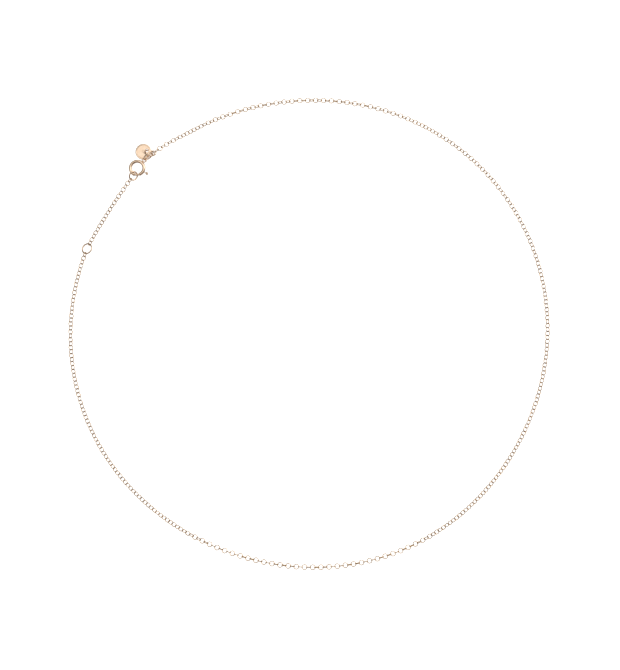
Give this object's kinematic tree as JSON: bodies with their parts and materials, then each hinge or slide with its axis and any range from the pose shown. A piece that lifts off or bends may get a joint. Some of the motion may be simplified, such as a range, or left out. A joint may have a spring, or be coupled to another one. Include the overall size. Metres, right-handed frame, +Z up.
{
  "type": "chain necklace",
  "caption": "Fine round-link chain necklace closed by a spring-ring clasp, with an adjuster ring, a short extension and a small plain disc tag.",
  "frame": {"origin": "centre of the loop on the plane the necklace rests on", "axes": "+Z up from the resting plane; +Y towards the clasp side of the loop (clasp at the back left, -X +Y); front of the chain at the lower right"},
  "size_m": [0.1436, 0.1433, 0.004],
  "materials": {
    "rose_gold": "polished",
    "spring_steel": "satin"
  },
  "bodies": {
    "main_run_22": {"main_run_22": "rose_gold"},
    "main_run_01": {"main_run_01": "rose_gold"},
    "main_run_02": {"main_run_02": "rose_gold"},
    "main_run_03": {"main_run_03": "rose_gold"},
    "main_run_04": {"main_run_04": "rose_gold"},
    "main_run_05": {"main_run_05": "rose_gold"},
    "main_run_06": {"main_run_06": "rose_gold"},
    "main_run_07": {"main_run_07": "rose_gold"},
    "main_run_08": {"main_run_08": "rose_gold"},
    "main_run_09": {"main_run_09": "rose_gold"},
    "main_run_10": {"main_run_10": "rose_gold"},
    "main_run_11": {"main_run_11": "rose_gold"},
    "main_run_12": {"main_run_12": "rose_gold"},
    "main_run_13": {"main_run_13": "rose_gold"},
    "main_run_14": {"main_run_14": "rose_gold"},
    "main_run_15": {"main_run_15": "rose_gold"},
    "main_run_16": {"main_run_16": "rose_gold"},
    "main_run_17": {"main_run_17": "rose_gold"},
    "main_run_18": {"main_run_18": "rose_gold"},
    "main_run_19": {"main_run_19": "rose_gold"},
    "main_run_20": {"main_run_20": "rose_gold"},
    "main_run_21": {"main_run_21": "rose_gold"},
    "main_run_23": {"main_run_23": "rose_gold"},
    "main_run_24": {"main_run_24": "rose_gold"},
    "main_run_25": {"main_run_25": "rose_gold"},
    "main_run_26": {"main_run_26": "rose_gold"},
    "main_run_27": {"main_run_27": "rose_gold"},
    "main_run_28": {"main_run_28": "rose_gold"},
    "main_run_29": {"main_run_29": "rose_gold"},
    "main_run_30": {"main_run_30": "rose_gold"},
    "main_run_31": {"main_run_31": "rose_gold"},
    "main_run_32": {"main_run_32": "rose_gold"},
    "main_run_33": {"main_run_33": "rose_gold"},
    "main_run_34": {"main_run_34": "rose_gold"},
    "main_run_35": {"main_run_35": "rose_gold"},
    "main_run_36": {"main_run_36": "rose_gold"},
    "main_run_37": {"main_run_37": "rose_gold"},
    "main_run_38": {"main_run_38": "rose_gold"},
    "main_run_39": {"main_run_39": "rose_gold"},
    "main_run_40": {"main_run_40": "rose_gold"},
    "main_run_41": {"main_run_41": "rose_gold"},
    "main_run_42": {"main_run_42": "rose_gold"},
    "main_run_43": {"main_run_43": "rose_gold"},
    "extension_run_01": {"extension_run_01": "rose_gold"},
    "extension_run_02": {"extension_run_02": "rose_gold"},
    "extension_run_03": {"extension_run_03": "rose_gold"},
    "extension_run_04": {"extension_run_04": "rose_gold"},
    "extension_run_05": {"extension_run_05": "rose_gold"},
    "clasp": {"clasp_tube": "rose_gold", "clasp_eye": "rose_gold", "clasp_spring": "spring_steel", "clasp_spring_stop": "rose_gold"},
    "clasp_trigger": {"clasp_bolt": "rose_gold", "clasp_thumb_knob": "rose_gold"},
    "clasp_jump_ring": {"clasp_jump_ring": "rose_gold"},
    "tag_jump_ring": {"tag_jump_ring": "rose_gold"},
    "tag_disc": {"tag_disc": "rose_gold"},
    "end_ring": {"end_ring": "rose_gold"},
    "adjuster_ring": {"adjuster_ring": "rose_gold"}
  },
  "joints": [
    {"name": "clasp_bolt_retract", "type": "hinge", "parent": "clasp", "child": "clasp_trigger", "pos_m": [-0.05195, 0.04957, 0.00124], "axis": [-0.0831, -0.0891, 0.9925], "range_deg": [0, 52], "stiffness_Nm_per_rad": 0.0002, "springref_deg": -28.65, "deforming": ["clasp_spring"]},
    {"name": "clasp_roll", "type": "hinge", "parent": "main_run_01", "child": "clasp", "pos_m": [-0.05128, 0.04981, 0.00132], "axis": [-0.5828, -0.8036, -0.121], "range_deg": [-5, 5]},
    {"name": "clasp_ring_roll", "type": "hinge", "parent": "main_run_01", "child": "clasp_jump_ring", "pos_m": [-0.04851, 0.05282, 0.00194], "axis": [0.7978, 0.5705, 0.1952], "range_deg": [-5, 5]},
    {"name": "clasp_tag_ring_swing", "type": "hinge", "parent": "clasp_jump_ring", "child": "tag_jump_ring", "pos_m": [-0.04723, 0.05352, 0.00172], "axis": [-0.2396, -0.3892, -0.8894], "range_deg": [-4, 4]},
    {"name": "clasp_tag_swing", "type": "hinge", "parent": "tag_jump_ring", "child": "tag_disc", "pos_m": [-0.04917, 0.05522, 0.00067], "axis": [-0.7647, -0.3324, 0.5521], "range_deg": [-8, 20]},
    {"name": "end_ring_roll", "type": "hinge", "parent": "extension_run_05", "child": "end_ring", "pos_m": [-0.05307, 0.0472, 0.00101], "axis": [-0.5984, -0.8012, -0.0057], "range_deg": [-4, 4]},
    {"name": "adjuster_ring_roll", "type": "hinge", "parent": "main_run_43", "child": "adjuster_ring", "pos_m": [-0.06669, 0.02475, 0.00084], "axis": [0.3221, 0.9467, 0], "range_deg": [-20, 20]},
    {"name": "flex_b_main_run_01", "type": "hinge", "parent": "main_run_02", "child": "main_run_01", "pos_m": [-0.0406, 0.05839, 0.00145], "axis": [0, 0, 1], "range_deg": [-0.01, 6.86]},
    {"name": "flex_b_main_run_02", "type": "hinge", "parent": "main_run_03", "child": "main_run_02", "pos_m": [-0.03222, 0.063, 0.00084], "axis": [0, 0, 1], "range_deg": [-0.01, 1.08]},
    {"name": "flex_a_main_run_03", "type": "hinge", "parent": "main_run_04", "child": "main_run_03", "pos_m": [-0.02337, 0.06672, 0.00084], "axis": [0, 0, 1], "range_deg": [-0.01, 3.8]},
    {"name": "flex_a_main_run_04", "type": "hinge", "parent": "main_run_05", "child": "main_run_04", "pos_m": [-0.01413, 0.06927, 0.00084], "axis": [0, 0, 1], "range_deg": [-0.01, 5.28]},
    {"name": "flex_a_main_run_05", "type": "hinge", "parent": "main_run_06", "child": "main_run_05", "pos_m": [-0.00463, 0.07064, 0.00084], "axis": [0, 0, 1], "range_deg": [-0.01, 4.54]},
    {"name": "flex_d_main_run_06", "type": "hinge", "parent": "main_run_07", "child": "main_run_06", "pos_m": [0.00496, 0.0708, 0.00084], "axis": [0, 0, 1], "range_deg": [-0.01, 0.68]},
    {"name": "flex_d_main_run_07", "type": "hinge", "parent": "main_run_08", "child": "main_run_07", "pos_m": [0.01449, 0.06971, 0.00084], "axis": [0, 0, 1], "range_deg": [-0.01, 11.12]},
    {"name": "flex_c_main_run_09", "type": "hinge", "parent": "main_run_10", "child": "main_run_09", "pos_m": [0.03269, 0.06377, 0.00084], "axis": [0, 0, 1], "range_deg": [-0.01, 1.78]},
    {"name": "flex_c_main_run_10", "type": "hinge", "parent": "main_run_11", "child": "main_run_10", "pos_m": [0.04099, 0.05898, 0.00084], "axis": [0, 0, 1], "range_deg": [-0.01, 7.56]},
    {"name": "flex_b_main_run_12", "type": "hinge", "parent": "main_run_13", "child": "main_run_12", "pos_m": [0.05518, 0.04613, 0.00084], "axis": [0, 0, 1], "range_deg": [-1.38, 0.01]},
    {"name": "flex_b_main_run_13", "type": "hinge", "parent": "main_run_14", "child": "main_run_13", "pos_m": [0.06078, 0.03834, 0.00084], "axis": [0, 0, 1], "range_deg": [-6.81, 0.01]},
    {"name": "flex_a_main_run_15", "type": "hinge", "parent": "main_run_16", "child": "main_run_15", "pos_m": [0.06849, 0.02083, 0.00084], "axis": [0, 0, 1], "range_deg": [-7.26, 0.01]},
    {"name": "flex_a_main_run_16", "type": "hinge", "parent": "main_run_17", "child": "main_run_16", "pos_m": [0.07048, 0.01145, 0.00084], "axis": [0, 0, 1], "range_deg": [-6, 0]},
    {"name": "flex_d_main_run_18", "type": "hinge", "parent": "main_run_19", "child": "main_run_18", "pos_m": [0.07057, -0.0077, 0.00084], "axis": [0, 0, 1], "range_deg": [-3.79, 0.01]},
    {"name": "flex_d_main_run_19", "type": "hinge", "parent": "main_run_20", "child": "main_run_19", "pos_m": [0.06871, -0.01711, 0.00084], "axis": [0, 0, 1], "range_deg": [-2.17, 0.01]},
    {"name": "flex_d_main_run_20", "type": "hinge", "parent": "main_run_21", "child": "main_run_20", "pos_m": [0.06567, -0.02621, 0.00084], "axis": [0, 0, 1], "range_deg": [-6, 0]},
    {"name": "flex_c_main_run_21", "type": "hinge", "parent": "main_run_22", "child": "main_run_21", "pos_m": [0.06149, -0.03484, 0.00084], "axis": [0, 0, 1], "range_deg": [-6, 0]},
    {"name": "flex_c_main_run_23", "type": "hinge", "parent": "main_run_22", "child": "main_run_23", "pos_m": [0.05625, -0.04288, 0.00084], "axis": [0, 0, 1], "range_deg": [-0.01, 3.23]},
    {"name": "flex_b_main_run_24", "type": "hinge", "parent": "main_run_23", "child": "main_run_24", "pos_m": [0.05002, -0.05017, 0.00084], "axis": [0, 0, 1], "range_deg": [-6, 0]},
    {"name": "flex_b_main_run_25", "type": "hinge", "parent": "main_run_24", "child": "main_run_25", "pos_m": [0.04287, -0.05657, 0.00084], "axis": [0, 0, 1], "range_deg": [-0.01, 4.71]},
    {"name": "flex_b_main_run_26", "type": "hinge", "parent": "main_run_25", "child": "main_run_26", "pos_m": [0.03491, -0.06192, 0.00084], "axis": [0, 0, 1], "range_deg": [-6.86, 0.01]},
    {"name": "flex_a_main_run_28", "type": "hinge", "parent": "main_run_27", "child": "main_run_28", "pos_m": [0.01711, -0.06894, 0.00084], "axis": [0, 0, 1], "range_deg": [-6.73, 0.01]},
    {"name": "flex_a_main_run_29", "type": "hinge", "parent": "main_run_28", "child": "main_run_29", "pos_m": [0.00764, -0.07046, 0.00084], "axis": [0, 0, 1], "range_deg": [-6.52, 0.01]},
    {"name": "flex_d_main_run_31", "type": "hinge", "parent": "main_run_30", "child": "main_run_31", "pos_m": [-0.01148, -0.06953, 0.00084], "axis": [0, 0, 1], "range_deg": [-8.98, 0.01]},
    {"name": "flex_d_main_run_32", "type": "hinge", "parent": "main_run_31", "child": "main_run_32", "pos_m": [-0.02079, -0.06721, 0.00084], "axis": [0, 0, 1], "range_deg": [-3.08, 0.01]},
    {"name": "flex_c_main_run_34", "type": "hinge", "parent": "main_run_33", "child": "main_run_34", "pos_m": [-0.03818, -0.05919, 0.00084], "axis": [0, 0, 1], "range_deg": [-8.21, 0.01]},
    {"name": "flex_c_main_run_35", "type": "hinge", "parent": "main_run_34", "child": "main_run_35", "pos_m": [-0.04597, -0.0536, 0.00084], "axis": [0, 0, 1], "range_deg": [-1.02, 0.01]},
    {"name": "flex_b_main_run_37", "type": "hinge", "parent": "main_run_36", "child": "main_run_37", "pos_m": [-0.05898, -0.03956, 0.00084], "axis": [0, 0, 1], "range_deg": [-0.01, 8.32]},
    {"name": "flex_b_main_run_38", "type": "hinge", "parent": "main_run_37", "child": "main_run_38", "pos_m": [-0.06388, -0.03132, 0.00084], "axis": [0, 0, 1], "range_deg": [-0.41, 0.01]},
    {"name": "flex_a_main_run_39", "type": "hinge", "parent": "main_run_38", "child": "main_run_39", "pos_m": [-0.06757, -0.02246, 0.00084], "axis": [0, 0, 1], "range_deg": [-0.01, 5.69]},
    {"name": "flex_a_main_run_40", "type": "hinge", "parent": "main_run_39", "child": "main_run_40", "pos_m": [-0.06997, -0.01317, 0.00084], "axis": [0, 0, 1], "range_deg": [-0.01, 5.03]},
    {"name": "flex_a_main_run_41", "type": "hinge", "parent": "main_run_40", "child": "main_run_41", "pos_m": [-0.07107, -0.00364, 0.00084], "axis": [0, 0, 1], "range_deg": [-0.01, 2.88]},
    {"name": "flex_d_main_run_42", "type": "hinge", "parent": "main_run_41", "child": "main_run_42", "pos_m": [-0.07088, 0.00595, 0.00084], "axis": [0, 0, 1], "range_deg": [-0.01, 2.43]},
    {"name": "flex_d_main_run_43", "type": "hinge", "parent": "main_run_42", "child": "main_run_43", "pos_m": [-0.06942, 0.01543, 0.00084], "axis": [0, 0, 1], "range_deg": [-0.01, 3.6]},
    {"name": "flex_d_extension_run_01", "type": "hinge", "parent": "main_run_43", "child": "extension_run_01", "pos_m": [-0.06669, 0.02475, 0.00084], "axis": [0, 0, 1], "range_deg": [-0.01, 5.87]},
    {"name": "flex_c_extension_run_02", "type": "hinge", "parent": "extension_run_01", "child": "extension_run_02", "pos_m": [-0.06385, 0.03015, 0.00084], "axis": [0, 0, 1], "range_deg": [-0.01, 0.81]},
    {"name": "flex_c_extension_run_03", "type": "hinge", "parent": "extension_run_02", "child": "extension_run_03", "pos_m": [-0.0615, 0.0343, 0.00084], "axis": [0, 0, 1], "range_deg": [-0.01, 1.17]},
    {"name": "flex_c_extension_run_04", "type": "hinge", "parent": "extension_run_03", "child": "extension_run_04", "pos_m": [-0.05902, 0.03838, 0.00084], "axis": [0, 0, 1], "range_deg": [-0.01, 2.3]},
    {"name": "flex_c_extension_run_05", "type": "hinge", "parent": "extension_run_04", "child": "extension_run_05", "pos_m": [-0.05643, 0.0424, 0.0009], "axis": [0, 0, 1], "range_deg": [-0.01, 5.06]},
    {"name": "drape_1_main_run_17", "type": "hinge", "parent": "main_run_18", "child": "main_run_17", "pos_m": [0.07116, 0.00188, 0.00084], "axis": [0.5513, 0.8343, 0], "range_deg": [0, 22]},
    {"name": "drape_1_main_run_27", "type": "hinge", "parent": "main_run_26", "child": "main_run_27", "pos_m": [0.02626, -0.06607, 0.00084], "axis": [0.5513, 0.8343, 0], "range_deg": [0, 22]},
    {"name": "drape_2_main_run_14", "type": "hinge", "parent": "main_run_15", "child": "main_run_14", "pos_m": [0.06524, 0.02986, 0.00084], "axis": [0.5558, 0.8313, 0], "range_deg": [0, 22]},
    {"name": "drape_2_main_run_30", "type": "hinge", "parent": "main_run_29", "child": "main_run_30", "pos_m": [-0.00195, -0.07064, 0.00084], "axis": [0.5558, 0.8313, 0], "range_deg": [0, 22]},
    {"name": "drape_3_main_run_11", "type": "hinge", "parent": "main_run_12", "child": "main_run_11", "pos_m": [0.04854, 0.05306, 0.00084], "axis": [0.5567, 0.8307, 0], "range_deg": [0, 22]},
    {"name": "drape_3_main_run_33", "type": "hinge", "parent": "main_run_32", "child": "main_run_33", "pos_m": [-0.02973, -0.06374, 0.00084], "axis": [0.5567, 0.8307, 0], "range_deg": [0, 22]},
    {"name": "drape_4_main_run_08", "type": "hinge", "parent": "main_run_09", "child": "main_run_08", "pos_m": [0.02379, 0.06737, 0.00084], "axis": [0.5572, 0.8304, 0], "range_deg": [0, 22]},
    {"name": "drape_4_main_run_36", "type": "hinge", "parent": "main_run_35", "child": "main_run_36", "pos_m": [-0.05296, -0.04703, 0.00084], "axis": [0.5572, 0.8304, 0], "range_deg": [0, 22]}
  ],
  "couplings": [
    {"joint": "flex_b_main_run_01", "follows": "flex_b_main_run_24", "ratio": -1.1421},
    {"joint": "flex_b_main_run_02", "follows": "flex_b_main_run_24", "ratio": -0.1789},
    {"joint": "flex_a_main_run_03", "follows": "flex_a_main_run_16", "ratio": -0.6314},
    {"joint": "flex_a_main_run_04", "follows": "flex_a_main_run_16", "ratio": -0.8787},
    {"joint": "flex_a_main_run_05", "follows": "flex_a_main_run_16", "ratio": -0.7547},
    {"joint": "flex_d_main_run_06", "follows": "flex_d_main_run_20", "ratio": -0.1114},
    {"joint": "flex_d_main_run_07", "follows": "flex_d_main_run_20", "ratio": -1.8509},
    {"joint": "flex_c_main_run_09", "follows": "flex_c_main_run_21", "ratio": -0.2946},
    {"joint": "flex_c_main_run_10", "follows": "flex_c_main_run_21", "ratio": -1.2576},
    {"joint": "flex_b_main_run_12", "follows": "flex_b_main_run_24", "ratio": 0.2289},
    {"joint": "flex_b_main_run_13", "follows": "flex_b_main_run_24", "ratio": 1.1341},
    {"joint": "flex_a_main_run_15", "follows": "flex_a_main_run_16", "ratio": 1.209},
    {"joint": "flex_d_main_run_18", "follows": "flex_d_main_run_20", "ratio": 0.6297},
    {"joint": "flex_d_main_run_19", "follows": "flex_d_main_run_20", "ratio": 0.3603},
    {"joint": "flex_c_main_run_23", "follows": "flex_c_main_run_21", "ratio": -0.537},
    {"joint": "flex_b_main_run_25", "follows": "flex_b_main_run_24", "ratio": -0.7829},
    {"joint": "flex_b_main_run_26", "follows": "flex_b_main_run_24", "ratio": 1.1422},
    {"joint": "flex_a_main_run_28", "follows": "flex_a_main_run_16", "ratio": 1.1207},
    {"joint": "flex_a_main_run_29", "follows": "flex_a_main_run_16", "ratio": 1.0847},
    {"joint": "flex_d_main_run_31", "follows": "flex_d_main_run_20", "ratio": 1.4947},
    {"joint": "flex_d_main_run_32", "follows": "flex_d_main_run_20", "ratio": 0.5117},
    {"joint": "flex_c_main_run_34", "follows": "flex_c_main_run_21", "ratio": 1.3661},
    {"joint": "flex_c_main_run_35", "follows": "flex_c_main_run_21", "ratio": 0.1685},
    {"joint": "flex_b_main_run_37", "follows": "flex_b_main_run_24", "ratio": -1.3842},
    {"joint": "flex_b_main_run_38", "follows": "flex_b_main_run_24", "ratio": 0.0669},
    {"joint": "flex_a_main_run_39", "follows": "flex_a_main_run_16", "ratio": -0.9459},
    {"joint": "flex_a_main_run_40", "follows": "flex_a_main_run_16", "ratio": -0.8364},
    {"joint": "flex_a_main_run_41", "follows": "flex_a_main_run_16", "ratio": -0.4789},
    {"joint": "flex_d_main_run_42", "follows": "flex_d_main_run_20", "ratio": -0.4029},
    {"joint": "flex_d_main_run_43", "follows": "flex_d_main_run_20", "ratio": -0.5987},
    {"joint": "flex_d_extension_run_01", "follows": "flex_d_main_run_20", "ratio": -0.9771},
    {"joint": "flex_c_extension_run_02", "follows": "flex_c_main_run_21", "ratio": -0.1331},
    {"joint": "flex_c_extension_run_03", "follows": "flex_c_main_run_21", "ratio": -0.1939},
    {"joint": "flex_c_extension_run_04", "follows": "flex_c_main_run_21", "ratio": -0.3814},
    {"joint": "flex_c_extension_run_05", "follows": "flex_c_main_run_21", "ratio": -0.8413},
    {"joint": "drape_1_main_run_27", "follows": "drape_1_main_run_17", "ratio": 1},
    {"joint": "drape_2_main_run_30", "follows": "drape_2_main_run_14", "ratio": 1},
    {"joint": "drape_3_main_run_33", "follows": "drape_3_main_run_11", "ratio": 1},
    {"joint": "drape_4_main_run_36", "follows": "drape_4_main_run_08", "ratio": 1}
  ]
}
